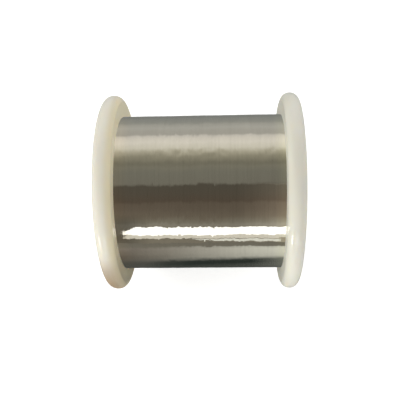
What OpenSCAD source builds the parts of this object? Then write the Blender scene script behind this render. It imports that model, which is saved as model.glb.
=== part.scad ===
// A plastic delivery reel, level-wound with fine constantan strip, lying on its flange rims.
// The reel's axis runs along X, and the origin is the middle of that axis. Sizes are in millimetres.

/* [Reel] */
// Diameter of both flanges
flange_d = 125; // [118:1:150]
// Clear width between the flanges, which the strip fills
traverse = 100; // [70:1:160]
// Outer diameter of the barrel that the strip is wound on
barrel_d = 80; // [70:1:88]
// Wall of the barrel tube
barrel_wall = 3; // [2:0.5:5]

/* [Flange moulding] */
// Thickness of the flange at its rim
rim_t = 10.5; // [9.9:0.1:14]
// Radius of the rounding along both edges of the rim
rim_round = 4.9; // [2.5:0.1:4.9]
// Radial width of the solid rim
rim_w = 9.5; // [8:0.5:11]
// Thickness of the web between the rim and the hub
web_t = 3.6; // [2.5:0.1:5]
// Wall of the ring that backs the end of the barrel
ring_wall = 4; // [3:0.5:6]
// Number of radial ribs on the outer face
rib_count = 8; // [4:1:12]
// Thickness of each rib, which has a full-round top
rib_t = 2.4; // [1.6:0.2:4]
// How far the ribs and the ring lie below the rim's face
rib_drop = 1.6; // [0.8:0.2:3]
// Fillet where the rim, the ring and the hub stand on the web
foot_round = 1.4; // [0.6:0.1:2]
// Rounding on the top edges of the rim, the ring and the hub
lip_round = 0.9; // [0.3:0.1:1.2]

/* [Hub] */
// Diameter of the spindle bore
bore_d = 16; // [12:0.5:20]
// Wall of the hub tube round the bore
hub_wall = 5; // [4:0.5:7]
// Length of the hub tube behind the flange's inner face
hub_reach = 22; // [14:1:30]
// Chamfer at both ends of the hub's bore
bore_chamfer = 0.8; // [0.4:0.1:1.5]

/* [Spigot] */
// Length of the ring that plugs into the barrel
spigot_reach = 12; // [6:1:20]
// Wall of that ring
spigot_wall = 2.6; // [2:0.2:4]
// Radial clearance between the ring and the barrel
spigot_gap = 0.1; // [0.05:0.05:0.3]

/* [Start hole] */
// Diameter of the hole that the strip's inner end is threaded through
start_d = 3.2; // [2:0.2:4]
// How far the hole's edge lies outside the barrel
start_off = 1.6; // [1:0.2:3]

/* [Winding] */
// Outer diameter of the full winding
winding_d = 98.8; // [92:0.2:106]
// Rounding where the winding's last turns fall away beside the flanges
winding_round = 0.6; // [0.2:0.1:1]

/* [Hidden] */
$fn = 72;
fine = 20;                                  // facets of the small rounds in the turned sections
past = 1;                                   // how far a cut or a joint runs past its face
flange_r = flange_d / 2;
barrel_r = barrel_d / 2;
bore_r = bore_d / 2;
hub_r = bore_r + hub_wall;
rim_in_r = flange_r - rim_w;
ring_in_r = barrel_r - ring_wall;           // the ring ends at the barrel's outside
spigot_r = barrel_r - barrel_wall - spigot_gap;
rib_h = rim_t - rib_drop;
rib_bite = lip_round + 0.6;                 // how far a rib runs into the rim and the hub
start_r = barrel_r + start_off + start_d / 2;
winding_r = winding_d / 2;

// In the sections below the radius runs along x, and y runs outward from the flange's inner face.

// A wall standing on the web, from radius r1 to r2, with rounded top edges.
module wall_section(r1, r2, top) {
    translate([r1, 0]) square([r2 - r1, top - lip_round]);
    translate([r1 + lip_round, 0]) square([r2 - r1 - 2 * lip_round, top]);
    for (x = [r1 + lip_round, r2 - lip_round])
        translate([x, top - lip_round]) circle(lip_round, $fn = fine);
}

// The fillet at the foot of a wall whose face is at radius r; way is the side that it fills.
module foot_section(r, way) {
    translate([r, web_t])
        difference() {
            translate([way > 0 ? -lip_round : -foot_round, -past])
                square([foot_round + lip_round, foot_round + past]);
            translate([way * foot_round, foot_round]) circle(foot_round, $fn = fine);
        }
}

// The solid rim, rounded on its outside almost to a half circle.
module rim_section() {
    core_r = flange_r - rim_round;
    wall_section(rim_in_r, core_r + lip_round, rim_t);
    translate([core_r, rim_round]) square([rim_round, rim_t - 2 * rim_round]);
    for (y = [rim_round, rim_t - rim_round]) translate([core_r, y]) circle(rim_round, $fn = 2 * fine);
}

module flange_section() {
    translate([bore_r, 0]) square([rim_in_r + past - bore_r, web_t]);
    rim_section();
    wall_section(ring_in_r, barrel_r, rib_h);
    wall_section(bore_r, hub_r, rim_t);
    foot_section(hub_r, 1);
    foot_section(ring_in_r, -1);
    foot_section(barrel_r, 1);
    foot_section(rim_in_r, -1);
    translate([bore_r, -hub_reach]) square([hub_wall, hub_reach + past]);
    translate([spigot_r - spigot_wall, -spigot_reach]) square([spigot_wall, spigot_reach + past]);
}

// One rib, from the hub to the rim.
module rib() {
    translate([hub_r - rib_bite, 0, web_t - past])
        rotate([90, 0, 90])
            linear_extrude(rim_in_r - hub_r + 2 * rib_bite) {
                translate([-rib_t / 2, 0]) square([rib_t, past + rib_h - web_t - rib_t / 2]);
                translate([0, past + rib_h - web_t - rib_t / 2]) circle(rib_t / 2, $fn = fine);
            }
}

// The cone that chamfers one end of the bore, with that end of the hub at z = 0.
module bore_mouth() {
    translate([0, 0, -bore_chamfer - past])
        cylinder(r1 = bore_r - past, r2 = bore_r + bore_chamfer + past, h = bore_chamfer + 2 * past);
}

// One flange moulding, with its inner face at z = 0 and its outer face at z = rim_t.
module flange() {
    color("ivory")
        difference() {
            union() {
                rotate_extrude() flange_section();
                for (i = [0 : rib_count - 1]) rotate([0, 0, (i + 0.5) * 360 / rib_count]) rib();
            }
            translate([0, 0, rim_t]) bore_mouth();
            translate([0, 0, -hub_reach]) mirror([0, 0, 1]) bore_mouth();
            translate([start_r, 0, -past]) cylinder(d = start_d, h = web_t + 2 * past, $fn = fine);
        }
}

// Both flanges come from one mould, so the left one is the right one turned about.
module flange_right() {
    translate([traverse / 2, 0, 0]) rotate([0, 90, 0]) flange();
}

module flange_left() {
    rotate([0, 0, 180]) flange_right();
}

module barrel() {
    color("ivory")
        rotate([0, 90, 0])
            rotate_extrude()
                translate([barrel_r - barrel_wall, -traverse / 2]) square([barrel_wall, traverse]);
}

module winding_section() {
    core_r = winding_r - winding_round;
    edge_y = traverse / 2 - winding_round;
    translate([barrel_r, -traverse / 2]) square([core_r - barrel_r, traverse]);
    translate([barrel_r, -edge_y]) square([winding_r - barrel_r, 2 * edge_y]);
    for (y = [-edge_y, edge_y]) translate([core_r, y]) circle(winding_round, $fn = fine);
}

module strip_winding() {
    color("silver") rotate([0, 90, 0]) rotate_extrude() winding_section();
}

flange_left();
flange_right();
barrel();
strip_winding();
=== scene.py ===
import math

import bmesh
import bpy
import numpy as np
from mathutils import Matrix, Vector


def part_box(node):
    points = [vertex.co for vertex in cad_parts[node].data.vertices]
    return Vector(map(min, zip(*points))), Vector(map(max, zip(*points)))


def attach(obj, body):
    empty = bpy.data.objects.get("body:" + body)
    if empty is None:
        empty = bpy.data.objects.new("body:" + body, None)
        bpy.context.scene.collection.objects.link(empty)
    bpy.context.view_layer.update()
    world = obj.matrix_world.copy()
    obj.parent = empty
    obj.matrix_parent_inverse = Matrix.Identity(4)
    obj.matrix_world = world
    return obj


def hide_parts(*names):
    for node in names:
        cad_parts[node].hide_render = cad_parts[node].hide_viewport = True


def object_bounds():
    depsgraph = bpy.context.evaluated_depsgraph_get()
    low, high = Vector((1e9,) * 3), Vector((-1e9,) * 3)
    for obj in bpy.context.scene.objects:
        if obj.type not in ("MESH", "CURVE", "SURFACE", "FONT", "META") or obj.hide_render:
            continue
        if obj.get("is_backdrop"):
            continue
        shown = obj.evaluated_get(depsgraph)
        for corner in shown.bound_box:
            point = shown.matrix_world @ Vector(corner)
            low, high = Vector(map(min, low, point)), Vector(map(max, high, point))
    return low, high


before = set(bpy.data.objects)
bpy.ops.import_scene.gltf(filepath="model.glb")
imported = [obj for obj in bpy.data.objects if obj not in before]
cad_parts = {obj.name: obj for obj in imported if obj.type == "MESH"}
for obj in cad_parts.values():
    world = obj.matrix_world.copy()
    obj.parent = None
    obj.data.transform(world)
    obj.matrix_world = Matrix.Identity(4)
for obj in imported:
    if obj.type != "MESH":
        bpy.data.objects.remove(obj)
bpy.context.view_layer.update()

# A plastic reel of fine constantan strip, seen from almost straight above as it lies on its rims.
# Lengths are in metres. The reel's axis is X, its middle is the origin, and up is +Z.

millimetre = 0.001


# Small helpers

def newMaterial(name):
    material = bpy.data.materials.new(name)
    material.use_nodes = True
    material.node_tree.nodes.clear()
    return material, material.node_tree


def addNode(tree, kind, inputs=None, **settings):
    # Each input is given as a number or colour, or as the socket it is joined to
    node = tree.nodes.new(kind)
    for key, value in settings.items():
        setattr(node, key, value)
    for key, value in (inputs or {}).items():
        if isinstance(value, bpy.types.NodeSocket):
            tree.links.new(value, node.inputs[key])
        else:
            node.inputs[key].default_value = value
    return node


def finishMaterial(tree, shader):
    addNode(tree, "ShaderNodeOutputMaterial", {"Surface": shader.outputs[0]})


def calculate(tree, operation, *values):
    return addNode(tree, "ShaderNodeMath", dict(enumerate(values)), operation=operation).outputs[0]


def remap(tree, value, low, high, first=0.0, last=1.0, **settings):
    # Goes from first to last as the value goes from low to high
    mapped = addNode(tree, "ShaderNodeMapRange", {
        "Value": value, "From Min": low, "From Max": high, "To Min": first, "To Max": last}, **settings)
    return mapped.outputs["Result"]


def numberRamp(tree, value, stops):
    # A number that goes through the stops as the value grows
    number = stops[0][1]
    for (low, before), (high, after) in zip(stops, stops[1:]):
        number = calculate(tree, "ADD", remap(tree, value, low, high, 0.0, after - before), number)
    return number


def colourRamp(tree, value, stops):
    # A colour that goes through the stops as the value grows
    low, high = stops[0][0], stops[-1][0]
    ramp = addNode(tree, "ShaderNodeValToRGB", {"Fac": remap(tree, value, low, high)})
    elements = ramp.color_ramp.elements
    while len(elements) > 1:
        elements.remove(elements[-1])
    elements[0].position = 0.0
    elements[0].color = (*stops[0][1], 1)
    for at, colour in stops[1:]:
        elements.new((at - low) / (high - low)).color = (*colour, 1)
    return ramp.outputs["Color"]


def mixColours(tree, factor, first, second, blending="MIX"):
    # Colours may be given as numbers or as sockets
    ends = [c if isinstance(c, bpy.types.NodeSocket) else (*c, 1) for c in (first, second)]
    mix = addNode(tree, "ShaderNodeMix", {"Factor": factor, "A": ends[0], "B": ends[1]},
                  data_type="RGBA", blend_type=blending)
    return mix.outputs["Result"]


def multiplyColours(tree, first, second):
    return mixColours(tree, 1.0, first, second, "MULTIPLY")


def objectPlace(tree):
    return addNode(tree, "ShaderNodeTexCoord").outputs["Object"]


def splitVector(tree, vector):
    return addNode(tree, "ShaderNodeSeparateXYZ", {"Vector": vector}).outputs


def noiseTexture(tree, vector, scale, detail, roughness):
    noise = addNode(tree, "ShaderNodeTexNoise", {
        "Vector": vector, "Scale": scale, "Detail": detail, "Roughness": roughness})
    return noise.outputs["Fac"]


def woundNoise(tree, along, around, detail, roughness):
    # Noise scaled apart along the reel's axis and round it, so that it runs with the turns
    scaled = addNode(tree, "ShaderNodeMapping", {
        "Vector": objectPlace(tree), "Scale": (along, around, around)})
    return noiseTexture(tree, scaled.outputs["Vector"], 1.0, detail, roughness)


def seenDirectly(tree):
    # 1 for what the camera sees, straight or through glass or in a mirror, and 0 for light
    path = addNode(tree, "ShaderNodeLightPath").outputs
    orMirrored = calculate(tree, "MAXIMUM", path["Is Camera Ray"], path["Is Glossy Ray"])
    return calculate(tree, "MAXIMUM", orMirrored, path["Is Transmission Ray"])


def addPiece(name, vertices=(), faces=()):
    mesh = bpy.data.meshes.new(name)
    mesh.from_pydata(vertices, [], faces)
    piece = bpy.data.objects.new(name, mesh)
    bpy.context.scene.collection.objects.link(piece)
    return piece


# The winding: one helix of strip, whose turns lie side by side with a seam between every two

winding = {
    "stripWidth": 0.8 * millimetre,      # one turn's share of the reel's width
    "bevel": 0.013 * millimetre,         # the strip's rounded edge, at each side
    "bevelRange": 0.6,                   # how much that differs between groups of turns
    "bevelLimits": (0.15, 2.5),          # the least and most of it, as shares of bevel
    "grooveDepth": 0.06 * millimetre,    # how far the seam between two turns goes down
    "sharpAngle": 20,                    # degrees: sharper folds than this stay crisp, so a turn looks flat
    "stepsPerTurn": 240,
    "boreRadius": 40 * millimetre,
    "lean": 0.0003 * millimetre,         # how much higher one edge of a turn can stand than its other
    "slack": 0.0009 * millimetre,        # how unevenly a turn lies against its neighbours
    "kink": 0.0010 * millimetre,         # the size of the small kinks that neighbouring turns share
    "roughPlace": -10 * millimetre,      # the stretch along the reel where the turns are laid less evenly
    "roughReach": 20 * millimetre,
    "evenTurns": 3,                      # how many turns next to each flange lie evener
    "seed": 7,
    # In the random fields each turn is a ring of this radius, and the next one lies this far away
    "fieldRadius": 0.9,
    "fieldStep": 3.7,
    # How finely the fields vary from turn to turn, and round each turn
    "slackScale": (1, 9, 9),
    "kinkScale": (0.11, 12, 12),
    "bevelScale": (0.1, 1, 1),
    # The unevenness of the layers below, in millimetres: height, wavelength along the reel, wavelength
    # round it, and how many times more of it there is in the rough stretch
    "waves": [
        (0.034, 30, 34, 0.0),
        (0.009, 6, 8, 0.8),
        (0.0040, 2.1, 4.2, 1.0),
    ],
    # Small rucks in the layers below: millimetres along the reel, degrees round it from the top to the
    # back, length and width in millimetres, slant in degrees, and depth in millimetres
    "rucks": [
        (0.5, 16.6, 3.4, 1.2, 28, 0.048),
        (6.5, 18.4, 3.2, 1.1, 0, 0.046),
        (14.0, 15.6, 3.8, 1.2, -30, 0.052),
        (7.0, 13.6, 4.2, 1.3, 0, 0.046),
        (-6.0, 16.6, 2.6, 1.1, -25, 0.036),
        (-12.0, 15.2, 2.8, 1.2, 25, 0.038),
        (-17.5, 17.8, 2.4, 1.1, -20, 0.030),
        (42.0, 17.0, 4.6, 1.2, 34, 0.048),
    ],
}


def ruckDepth(x, angle, radius):
    # How much lower the surface lies at each place because of the rucks
    total = np.zeros(len(x))
    for along, degrees, length, width, slant, depth in winding["rucks"]:
        turned = (angle - math.radians(degrees) + math.pi) % (2 * math.pi) - math.pi
        across, up = x - along * millimetre, radius * turned
        cosine, sine = math.cos(math.radians(slant)), math.sin(math.radians(slant))
        total += depth * millimetre * np.exp(
            -((across * cosine + up * sine) / (length * millimetre)) ** 2
            - ((up * cosine - across * sine) / (width * millimetre)) ** 2)
    return total


def smoothField(points, waveAlong, waveAround, random, waves=28):
    # A smooth random field, as a sum of plane waves. It lives in space, so it has no seam round the reel.
    total = np.zeros(len(points))
    for _ in range(waves):
        direction = random.normal(size=3)
        direction /= np.linalg.norm(direction)
        turns = direction * np.array([1 / waveAlong, 1 / waveAround, 1 / waveAround])
        total += np.cos(2 * math.pi * (points @ turns) + random.uniform(0, 2 * math.pi))
    return total * math.sqrt(2 / waves)


def makeWinding():
    low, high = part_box("strip_winding")
    random = np.random.default_rng(winding["seed"])
    fullRadius = high.z
    steps = winding["stepsPerTurn"]
    turns = round((high.x - low.x) / winding["stripWidth"]) - 1
    count = turns * steps

    index = np.arange(count + steps + 1)
    angle = 2 * math.pi * index / steps
    seamX = low.x + winding["stripWidth"] * index / steps
    around = np.stack([np.zeros(len(index)), np.sin(angle), np.cos(angle)], 1)

    def onSurface(x, drop):
        return around[:len(x)] * (fullRadius - drop)[:, None] + np.stack([x, 0 * x, 0 * x], 1)

    # The waves of all the turns, with those of both end rings behind them, so that one field serves them all
    stripMiddle = seamX[:count] + winding["stripWidth"] / 2
    places = np.concatenate([
        onSurface(stripMiddle, 0 * stripMiddle),
        onSurface(np.full(steps, low.x), np.zeros(steps)),
        onSurface(np.full(steps, high.x), np.zeros(steps))])
    rough = np.exp(-((places[:, 0] - winding["roughPlace"]) / winding["roughReach"]) ** 2)
    height = sum(
        size * millimetre * (1 + gain * rough)
        * smoothField(places, along * millimetre, about * millimetre, random)
        for size, along, about, gain in winding["waves"])

    alongStrip = np.stack([
        index[:count] / steps * winding["fieldStep"],
        winding["fieldRadius"] * np.sin(angle[:count]),
        winding["fieldRadius"] * np.cos(angle[:count])], 1)
    lean = winding["lean"] * smoothField(alongStrip, 1, 1, random)
    # The turns against the flanges lie even
    fromEnd = np.minimum(index[:count], count - index[:count]) / steps
    loose = (1 + rough[:count]) * np.clip(fromEnd / winding["evenTurns"], 0, 1)
    height[:count] += winding["slack"] * loose * smoothField(alongStrip * winding["slackScale"], 1, 1, random)
    # The cube leaves most of the strip even and makes a few kinks
    kinked = smoothField(alongStrip * winding["kinkScale"], 1, 1, random) ** 3
    height[:count] += winding["kink"] * loose * kinked
    height[:count] += ruckDepth(stripMiddle, angle[:count], fullRadius)
    bevelFactor = 1 + winding["bevelRange"] * smoothField(alongStrip * winding["bevelScale"], 1, 1, random)
    bevel = winding["bevel"] * np.clip(bevelFactor, *winding["bevelLimits"])
    dips = height - height.min()
    unevenness = dips[:count]

    seamDip = np.empty(len(index))
    seamDip[:count] = unevenness
    seamDip[count:] = unevenness[-steps - 1:]
    seam = onSurface(seamX, seamDip + winding["grooveDepth"])
    leftEdge = onSurface(seamX[:count] + bevel, unevenness + np.abs(lean) + lean)
    rightEdge = onSurface(seamX[:count] + winding["stripWidth"] - bevel, unevenness + np.abs(lean) - lean)

    def endRing(x, radius):
        return around[:steps] * np.reshape(radius, (-1, 1)) + np.array([x, 0, 0])

    endRadius = fullRadius - winding["grooveDepth"] - dips[count:]
    rings = [
        endRing(low.x, endRadius[:steps]),
        endRing(low.x, winding["boreRadius"]),
        endRing(high.x, winding["boreRadius"]),
        endRing(high.x, endRadius[steps:]),
    ]
    vertices = np.concatenate([seam, leftEdge, rightEdge, *rings])
    leftAt, rightAt = len(seam), len(seam) + count
    ringAt = [len(seam) + 2 * count + steps * i for i in range(len(rings))]

    faces = []
    for i in range(count - 1):
        j = i + 1
        faces.append((i, j, leftAt + j, leftAt + i))
        faces.append((leftAt + i, leftAt + j, rightAt + j, rightAt + i))
        faces.append((rightAt + i, rightAt + j, j + steps, i + steps))
    turnFaces = len(faces)
    # The strip's two cut ends
    end = count - 1
    faces.append((leftAt, rightAt, steps, 0))
    faces.append((end, end + steps, rightAt + end, leftAt + end))
    # The wedge beside each flange, where the layer below shows, and the winding's ends and bore
    for i in range(steps):
        j = (i + 1) % steps
        faces.append((ringAt[0] + i, ringAt[0] + j, i + 1, i))
        faces.append((end + i, end + i + 1, ringAt[3] + (end + i + 1) % steps, ringAt[3] + (end + i) % steps))
        for a, b in ((0, 1), (1, 2), (2, 3)):
            faces.append((ringAt[b] + i, ringAt[b] + j, ringAt[a] + j, ringAt[a] + i))

    piece = addPiece("strip_turns", vertices.tolist(), faces)
    mesh = piece.data
    mesh.validate()
    mesh.update()
    mesh.shade_smooth()
    # Of each three faces along a turn, the first and the last are its slit edges
    materialIndex = np.zeros(len(faces), dtype=np.int32)
    materialIndex[0:turnFaces:3] = 1
    materialIndex[2:turnFaces:3] = 1
    mesh.polygons.foreach_set("material_index", materialIndex)
    mesh.set_sharp_from_angle(angle=math.radians(winding["sharpAngle"]))
    return piece


constantan = {
    "bright": (0.64, 0.62, 0.57),
    "dull": (0.58, 0.56, 0.51),
    "roughness": 0.03,
    # The patches of bright and dull, and the fine rolling lines: how finely they vary along the reel and
    # round it, and how rich they are
    "patches": {"along": 1100, "around": 26, "detail": 3.0, "roughness": 0.6},
    "lines": {"along": 5200, "around": 60, "detail": 2.0, "roughness": 0.5},
    "lineHeight": 0.0001 * millimetre,
    # Beside each flange the strip's colour is lifted towards the flange's ivory, as a painted reflection:
    # from where, up to where, and how much
    "flangeReflectionLeft": (-40 * millimetre, -50 * millimetre, (1.09, 1.05, 0.99)),
    "flangeReflectionRight": (42.5 * millimetre, 50 * millimetre, (1.16, 1.17, 1.10)),
    # The slit edges are duller than the rolled faces
    "edge": (0.36, 0.34, 0.30),
    "edgeRoughness": 0.4,
}


def edgeMaterial():
    material, tree = newMaterial("constantan_edge")
    metal = addNode(tree, "ShaderNodeBsdfPrincipled", {
        "Base Color": (*constantan["edge"], 1), "Metallic": 1.0, "Roughness": constantan["edgeRoughness"]})
    finishMaterial(tree, metal)
    return material


def constantanMaterial():
    material, tree = newMaterial("constantan_strip")
    patches = woundNoise(tree, **constantan["patches"])
    colour = mixColours(tree, patches, constantan["dull"], constantan["bright"])
    place = splitVector(tree, objectPlace(tree))
    # Painted reflection: the flanges are hidden from the strip's mirror, so their glow beside them goes into
    # its colour
    for start, full, reflectionTint in (constantan["flangeReflectionLeft"], constantan["flangeReflectionRight"]):
        beside = remap(tree, place["X"], start, full, interpolation_type="SMOOTHSTEP")
        colour = multiplyColours(tree, colour, mixColours(tree, beside, (1, 1, 1), reflectionTint))
    lines = woundNoise(tree, **constantan["lines"])
    bump = addNode(tree, "ShaderNodeBump", {
        "Height": lines, "Strength": 1.0, "Distance": constantan["lineHeight"]})
    metal = addNode(tree, "ShaderNodeBsdfPrincipled", {
        "Base Color": colour, "Metallic": 1.0, "Roughness": constantan["roughness"],
        "Normal": bump.outputs["Normal"]})
    finishMaterial(tree, metal)
    return material


# The reel's plastic

plastic = {
    # The colour of each flange, on its rim and on its inner face. Both are one plastic: the differences
    # between the flanges are painted light, and each inner face's warmer colour is painted shade.
    "left": {"rim": (0.85, 0.82, 0.715), "inner": (0.88, 0.80, 0.575)},
    "right": {"rim": (0.82, 0.80, 0.71), "inner": (0.79, 0.775, 0.665)},
    "innerFace": 50 * millimetre,        # how far the flanges' inner faces lie from the reel's middle
    "innerReach": 5 * millimetre,        # over this length the inner face's colour goes over to the rim's
    "shade": (0.97, 0.96, 0.93),         # the share of each colour that is left in the darkest clouds
    "cloudScale": 38.0,
    "cloudDetail": 3.0,
    "cloudRoughness": 0.55,
    "skinScale": 420.0,                  # the moulded skin's fine unevenness
    "skinDetail": 2.0,
    "skinRoughness": 0.5,
    "skinStrength": 0.12,
    "skinDepth": 0.05 * millimetre,
    "gloss": 0.5,                        # how strong the shine is, its refractive index and its roughness
    "glossIndex": 1.8,
    "roughness": 0.13,
    "bareRoughness": 0.6,                # under the shine
    "glow": 0.35,                        # how much light goes in and comes out again
    "glowDepth": 3.5 * millimetre,
    "glowColours": (1.0, 0.8, 0.5),      # how far each colour goes, as shares of that depth
    # The left rim's foot in front is darker and browner as painted shade: metres along the reel, degrees from
    # the top to the front, and metres from the axis
    "paintedShadeColour": (0.50, 0.39, 0.29),
    "paintedShadePlaces": [(-0.0560, 1.0), (-0.0535, 0.9), (-0.0510, 0.45), (-0.0495, 0.1), (-0.0480, 0.0)],
    "paintedShadeAngles": [
        (45, 0.0), (50, 0.12), (55, 0.40), (60, 0.68), (66, 0.85), (76, 1.0), (95, 1.0), (130, 0.0)],
    "paintedShadeRadii": [(0.0530, 0.0), (0.0575, 1.0)],
}


# How much of the painted brown shade falls on each place of the left rim's foot
def paintedShadeShare(tree, place):
    forward = calculate(tree, "MULTIPLY", place["Y"], -1.0)
    angle = calculate(tree, "DEGREES", calculate(tree, "ARCTAN2", forward, place["Z"]))
    square = calculate(tree, "MULTIPLY", place["Y"], place["Y"])
    radius = calculate(tree, "SQRT", calculate(tree, "MULTIPLY_ADD", place["Z"], place["Z"], square))
    section = calculate(tree, "MULTIPLY", numberRamp(tree, place["X"], plastic["paintedShadePlaces"]),
                        numberRamp(tree, angle, plastic["paintedShadeAngles"]))
    return calculate(tree, "MULTIPLY", section, numberRamp(tree, radius, plastic["paintedShadeRadii"]))


def plasticMaterial():
    material, tree = newMaterial("ivory_plastic")
    whole = objectPlace(tree)
    place = splitVector(tree, whole)
    # Painted shade: each inner face takes its warmer colour, which fades out towards the rim
    inner = remap(
        tree, calculate(tree, "ABSOLUTE", place["X"]), plastic["innerFace"],
        plastic["innerFace"] + plastic["innerReach"], 1.0, 0.0, interpolation_type="SMOOTHSTEP")
    right, left = [mixColours(tree, inner, plastic[side]["rim"], plastic[side]["inner"])
                   for side in ("right", "left")]
    flangeColour = mixColours(tree, calculate(tree, "LESS_THAN", place["X"], 0.0), right, left)
    # Painted shade: the left rim's foot in front darkens and turns browner
    footShade = mixColours(tree, paintedShadeShare(tree, place), (1, 1, 1), plastic["paintedShadeColour"])
    clouds = noiseTexture(
        tree, whole, plastic["cloudScale"], plastic["cloudDetail"], plastic["cloudRoughness"])
    clouded = mixColours(tree, clouds, (1, 1, 1), plastic["shade"])
    colour = multiplyColours(tree, multiplyColours(tree, flangeColour, footShade), clouded)
    skin = noiseTexture(tree, whole, plastic["skinScale"], plastic["skinDetail"], plastic["skinRoughness"])
    bump = addNode(tree, "ShaderNodeBump", {
        "Height": skin, "Strength": plastic["skinStrength"], "Distance": plastic["skinDepth"]})
    # The coat carries all of the plastic's shine
    shader = addNode(tree, "ShaderNodeBsdfPrincipled", {
        "Base Color": colour,
        "Roughness": plastic["bareRoughness"],
        "Specular IOR Level": 0.0,
        "Subsurface Weight": plastic["glow"],
        "Subsurface Radius": plastic["glowColours"],
        "Subsurface Scale": plastic["glowDepth"],
        "Normal": bump.outputs["Normal"],
        "Coat Weight": plastic["gloss"],
        "Coat IOR": plastic["glossIndex"],
        "Coat Roughness": plastic["roughness"],
        "Coat Normal": bump.outputs["Normal"]})
    finishMaterial(tree, shader)
    return material


def dress(name, material):
    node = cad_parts[name]
    node.data.materials.clear()
    node.data.materials.append(material)
    # As in the photograph, the strip mirrors the room and not the flanges
    node.visible_glossy = False


# The floor

floorLook = {
    "radius": 6.0,
    "sides": 96,
    "colour": (0.62, 0.62, 0.60),
    "grainScale": 60.0,
    "grainDetail": 2.0,
    "grainShade": 0.97,                  # the share of the colour that is left where the grain is darkest
    "lift": 0.72,                        # white added to what is seen, which leaves only a soft shadow
    "near": 0.35,                        # from here outward the floor turns plain white
    "far": 1.0,
}


def makeFloor():
    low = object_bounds()[0]
    sides = floorLook["sides"]
    corners = [2 * math.pi * i / sides for i in range(sides)]
    ring = [(floorLook["radius"] * math.cos(a), floorLook["radius"] * math.sin(a), low[2]) for a in corners]
    floor = addPiece("floor", ring, [tuple(range(sides))])
    material, tree = newMaterial("pale_floor")
    grain = addNode(tree, "ShaderNodeTexNoise", {
        "Scale": floorLook["grainScale"], "Detail": floorLook["grainDetail"]})
    darker = [floorLook["grainShade"] * c for c in floorLook["colour"]]
    tint = mixColours(tree, grain.outputs["Fac"], floorLook["colour"], darker)
    matt = addNode(tree, "ShaderNodeBsdfDiffuse", {"Color": tint})
    away = addNode(tree, "ShaderNodeVectorMath", {0: objectPlace(tree)}, operation="LENGTH")
    lift = remap(tree, away.outputs["Value"], floorLook["near"], floorLook["far"], floorLook["lift"], 1.0)
    seen = calculate(tree, "MULTIPLY", seenDirectly(tree), lift)
    white = addNode(tree, "ShaderNodeEmission", {"Strength": seen})
    finishMaterial(tree, addNode(tree, "ShaderNodeAddShader", {0: matt.outputs[0], 1: white.outputs[0]}))
    floor.data.materials.append(material)
    floor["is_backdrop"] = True


# What the bright strip mirrors: a dome for the room, a table top, and panels in front for a window and wall

def onlyReflected(piece):
    # The piece shows in the strip and the plastic, and neither lights nor hides anything
    for kind in ("camera", "diffuse", "shadow", "transmission"):
        setattr(piece, "visible_" + kind, False)
    piece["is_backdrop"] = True


def glow(tree, colour, strength):
    return addNode(tree, "ShaderNodeEmission", {"Color": colour, "Strength": strength})


# The dome's colours go by the angle over the reel: 0 is the horizon in front, 90 straight up, and 180 the
# horizon behind. The places of sides and dimSides are the X of the direction, negative to the left.

room = {
    "radius": 8.0,
    "subdivisions": 4,
    "bands": [
        (-90, (0.26, 0.25, 0.21)),
        (12, (0.28, 0.253, 0.20)),
        (31, (0.33, 0.31, 0.26)),
        (34, (0.27, 0.25, 0.20)),
        (43, (0.20, 0.17, 0.13)),
        (53, (0.17, 0.14, 0.108)),
        (62.5, (0.157, 0.128, 0.098)),
        (65, (0.124, 0.098, 0.074)),
        (76, (0.12, 0.103, 0.08)),
        (87.5, (0.116, 0.104, 0.082)),
        (90.5, (0.245, 0.235, 0.195)),
        (107, (0.253, 0.249, 0.205)),
        (115.5, (0.285, 0.275, 0.22)),
        (119.5, (0.258, 0.249, 0.194)),
        (122, (0.27, 0.258, 0.20)),
        (132, (0.41, 0.39, 0.30)),
        (139, (0.62, 0.59, 0.47)),
        (146, (0.93, 0.90, 0.78)),
        (156, (1.05, 1.01, 0.92)),
        (163, (0.975, 0.935, 0.855)),
        (168, (0.87, 0.84, 0.785)),
        (171, (0.575, 0.565, 0.52)),
        (270, (0.59, 0.595, 0.555)),
    ],
    "front": 89,                         # up to this angle the brightness also follows sides
    "sides": [(-0.16, 1.08), (0.02, 1.0), (0.070, 1.41), (0.092, 1.75)],
    "dim": 0.45,                         # how much darker the wall is to the left of the window and below it
    "dimSides": [(-0.168, 1.0), (-0.125, 0.0)],
    "dimAngles": [(-6, 0.0), (0, 0.9), (8, 1.0), (34, 1.0), (48, 0.0)],
}


def makeRoom():
    dome = addPiece("room")
    shell = bmesh.new()
    bmesh.ops.create_icosphere(shell, subdivisions=room["subdivisions"], radius=room["radius"])
    shell.to_mesh(dome.data)
    shell.free()
    material, tree = newMaterial("room_walls")
    toward = addNode(tree, "ShaderNodeVectorMath", {0: objectPlace(tree)}, operation="NORMALIZE")
    place = splitVector(tree, toward.outputs["Vector"])
    # Y and Z give the angle from straight up towards the back, and the horizon in front lies at -90
    fromTop = calculate(tree, "DEGREES", calculate(tree, "ARCTAN2", place["Y"], place["Z"]))
    fromFront = calculate(tree, "ADD", fromTop, 90.0)
    inFront = calculate(tree, "LESS_THAN", fromFront, room["front"])
    lighter = calculate(tree, "POWER", numberRamp(tree, place["X"], room["sides"]), inFront)
    corner = calculate(tree, "MULTIPLY", numberRamp(tree, place["X"], room["dimSides"]),
                       numberRamp(tree, fromFront, room["dimAngles"]))
    kept = calculate(tree, "MULTIPLY_ADD", corner, -room["dim"], 1.0)
    strength = calculate(tree, "MULTIPLY", lighter, kept)
    finishMaterial(tree, glow(tree, colourRamp(tree, fromFront, room["bands"]), strength))
    dome.data.materials.append(material)
    onlyReflected(dome)


# The table's bands go by the distance behind the reel, negative in front, and darken close to the reel as
# painted shade. On them lie a patch of window light, which grows to the right, and the reel's own shadow,
# whose edge slants.

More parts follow.
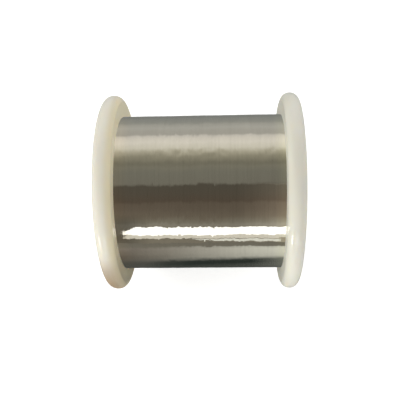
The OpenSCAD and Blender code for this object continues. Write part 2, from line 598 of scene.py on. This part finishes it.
table = {
    "halfWidth": 6.5,
    "overFloor": 0.5 * millimetre,
    "bands": [
        (-2.00, (0.24, 0.225, 0.187)),
        (-0.60, (0.255, 0.24, 0.20)),
        (-0.42, (0.30, 0.27, 0.235)),
        (-0.22, (0.23, 0.205, 0.172)),
        (-0.16, (0.165, 0.145, 0.12)),
        (-0.11, (0.14, 0.13, 0.115)),
        (0.00, (0.08, 0.09, 0.085)),
        (0.16, (0.34, 0.35, 0.33)),
        (0.25, (0.40, 0.41, 0.38)),
        (0.37, (0.53, 0.53, 0.49)),
        (0.70, (0.60, 0.60, 0.56)),
        (2.00, (0.59, 0.585, 0.54)),
    ],
    "patchColour": (0.95, 1.0, 0.92),
    "patch": [
        (-0.71, 0.0), (-0.66, 0.2), (-0.60, 0.75), (-0.42, 1.0), (-0.26, 1.0), (-0.20, 0.9), (-0.13, 0.9),
        (-0.05, 0.0)],
    "patchSides": [(-0.062, 0.0), (-0.030, 0.13), (0.009, 0.40), (0.043, 0.64)],
    "shadowColour": (0.036, 0.046, 0.041),
    "shadow": [
        (-0.168, 0.0), (-0.147, 0.35), (-0.124, 0.95), (-0.113, 1.0), (-0.095, 1.0), (-0.075, 0.85),
        (-0.03, 0.6), (0.0, 0.0)],
    "shadowSides": [
        (-0.060, 0.35), (-0.043, 0.45), (-0.027, 0.88), (-0.010, 1.0), (0.030, 1.0), (0.042, 0.84),
        (0.051, 0.72), (0.058, 0.15), (0.063, 0.0)],
    "shadowSlant": 0.33,                 # how far its edge moves to the front with each metre to the right
    "spread": 1.3,                       # how much the places across move apart with each metre away
}


def makeTable():
    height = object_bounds()[0][2] + table["overFloor"]
    wide = table["halfWidth"]
    corners = [(-wide, -wide, height), (wide, -wide, height), (wide, wide, height), (-wide, wide, height)]
    top = addPiece("table", corners, [(0, 1, 2, 3)])
    material, tree = newMaterial("table_top")
    place = splitVector(tree, objectPlace(tree))
    widening = calculate(tree, "MULTIPLY_ADD", calculate(tree, "ABSOLUTE", place["Y"]), table["spread"], 1.0)
    across = calculate(tree, "DIVIDE", place["X"], widening)
    surface = glow(tree, colourRamp(tree, place["Y"], table["bands"]), 1.0)
    patch = calculate(tree, "MULTIPLY", numberRamp(tree, place["Y"], table["patch"]),
                      numberRamp(tree, across, table["patchSides"]))
    light = glow(tree, (*table["patchColour"], 1), patch)
    lit = addNode(tree, "ShaderNodeAddShader", {0: surface.outputs[0], 1: light.outputs[0]})
    slanted = calculate(tree, "MULTIPLY_ADD", place["X"], table["shadowSlant"], place["Y"])
    shade = calculate(tree, "MULTIPLY", numberRamp(tree, slanted, table["shadow"]),
                      numberRamp(tree, across, table["shadowSides"]))
    dark = glow(tree, (*table["shadowColour"], 1), 1.0)
    finishMaterial(tree, addNode(tree, "ShaderNodeMixShader", {
        0: shade, 1: lit.outputs[0], 2: dark.outputs[0]}))
    top.data.materials.append(material)
    onlyReflected(top)


# The panels in front: the window that makes the white streak, with its left end cut to a point, and the two
# lit pieces of wall under it. Each outline is given across and up, in metres.

front = {
    "distance": 2.0,
    "panels": {
        "window": {
            "outline": [
                (-0.387, 0.50), (0.75, 0.50), (0.75, 1.02), (-0.374, 1.02), (-0.402, 0.80), (-0.395, 0.60)],
            "radiance": 2.1,
            "colour": (1.0, 1.0, 0.98),
        },
        "wall_under_window": {
            "outline": [
                (-0.382, 0.297), (-0.05, 0.276), (0.216, 0.272), (0.216, 0.33), (0.75, 0.33), (0.75, 0.50),
                (-0.382, 0.50)],
            "radiance": 1.0,
            "colour": (1.0, 0.96, 0.85),
        },
        "wall_by_table": {
            "outline": [(-0.12, 0.213), (0.0, 0.090), (0.216, 0.059), (0.216, 0.237), (-0.12, 0.237)],
            "radiance": 1.15,
            "colour": (0.95, 0.96, 0.88),
        },
    },
}


def makeFront():
    for name, spec in front["panels"].items():
        outline = [(across, -front["distance"], up) for across, up in spec["outline"]]
        panel = addPiece(name, outline, [tuple(range(len(outline)))[::-1]])
        material, tree = newMaterial(name + "_light")
        finishMaterial(tree, glow(tree, (*spec["colour"], 1), spec["radiance"]))
        panel.data.materials.append(material)
        onlyReflected(panel)


# The picture's white background, which lights nothing

surround = {
    "colour": (1.0, 1.0, 1.0),
}


def makeSurround():
    world = bpy.data.worlds.new("surround")
    bpy.context.scene.world = world
    world.use_nodes = True
    tree = world.node_tree
    tree.nodes.clear()
    white = addNode(tree, "ShaderNodeBackground", {
        "Color": (*surround["colour"], 1), "Strength": seenDirectly(tree)})
    addNode(tree, "ShaderNodeOutputWorld", {"Surface": white.outputs[0]})


# The lamps, plain white squares that face the reel: azimuth from straight in front, positive to the right,
# and elevation, both in degrees, and radiance

lamps = {
    # The only one that shows in anything: it makes the shine on both rims
    "left_window": {
        "azimuth": -44, "elevation": 6, "distance": 2.0, "size": 0.42, "radiance": 16, "reflects": True},
    "left_high": {"azimuth": -90, "elevation": 45, "radiance": 4.0},
    "front_low": {"azimuth": 5, "elevation": 15, "radiance": 4.0},
    "right_high": {"azimuth": 90, "elevation": 45, "radiance": 0.9},
    "right_low": {"azimuth": 110, "elevation": 10, "radiance": 3.1},
    "back_right": {"azimuth": 150, "elevation": 15, "radiance": 1.7},
    "back_left": {"azimuth": -120, "elevation": 10, "radiance": 1.5},
    "back_left_high": {"azimuth": -150, "elevation": 40, "radiance": 1.0},
}
lampDistance = 1.2                       # for the lamps that give none of their own
lampSize = 0.8


def makeLamp(name, spec):
    azimuth, elevation = math.radians(spec["azimuth"]), math.radians(spec["elevation"])
    distance, size = spec.get("distance", lampDistance), spec.get("size", lampSize)
    toLamp = np.array([
        math.sin(azimuth) * math.cos(elevation),
        -math.cos(azimuth) * math.cos(elevation),
        math.sin(elevation)])
    light = bpy.data.lights.new(name, "AREA")
    light.shape = "SQUARE"
    light.size = size
    light.energy = spec["radiance"] * math.pi * size ** 2
    lamp = bpy.data.objects.new(name, light)
    lamp.location = toLamp * distance
    lamp.rotation_euler = (math.pi / 2 - elevation, 0, azimuth)
    lamp.visible_camera = False
    lamp.visible_glossy = spec.get("reflects", False)
    bpy.context.scene.collection.objects.link(lamp)


# The camera looks down on the reel from just in front of it

view = {
    "lens": 55.08,                       # on a sensor 36 mm wide
    "shift": 0.11,
    "location": (15.74 * millimetre, -83.51 * millimetre, 392.87 * millimetre),
    "turn": (7.164, 2.60, -0.152),       # degrees
    "clip": (0.01, 50),
}


def makeCamera():
    lens = bpy.data.cameras.new("camera")
    lens.lens = view["lens"]
    lens.shift_y = view["shift"]
    lens.clip_start, lens.clip_end = view["clip"]
    camera = bpy.data.objects.new("camera", lens)
    camera.location = view["location"]
    camera.rotation_euler = [math.radians(a) for a in view["turn"]]
    bpy.context.scene.collection.objects.link(camera)
    bpy.context.scene.camera = camera


makeCamera()
print("camera placed")

turnsPiece = makeWinding()
turnsPiece.data.materials.append(constantanMaterial())
turnsPiece.data.materials.append(edgeMaterial())
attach(turnsPiece, "root")
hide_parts("strip_winding")
turnsPiece.data.calc_loop_triangles()
print("winding made, triangles:", len(turnsPiece.data.loop_triangles))

ivory = plasticMaterial()
for name in ("flange_left", "flange_right", "barrel"):
    dress(name, ivory)
print("plastic pieces dressed")

makeFloor()
makeRoom()
makeTable()
makeFront()
makeSurround()
for name, spec in lamps.items():
    makeLamp(name, spec)
bpy.context.scene.view_settings.view_transform = "Standard"
print("stage lit")
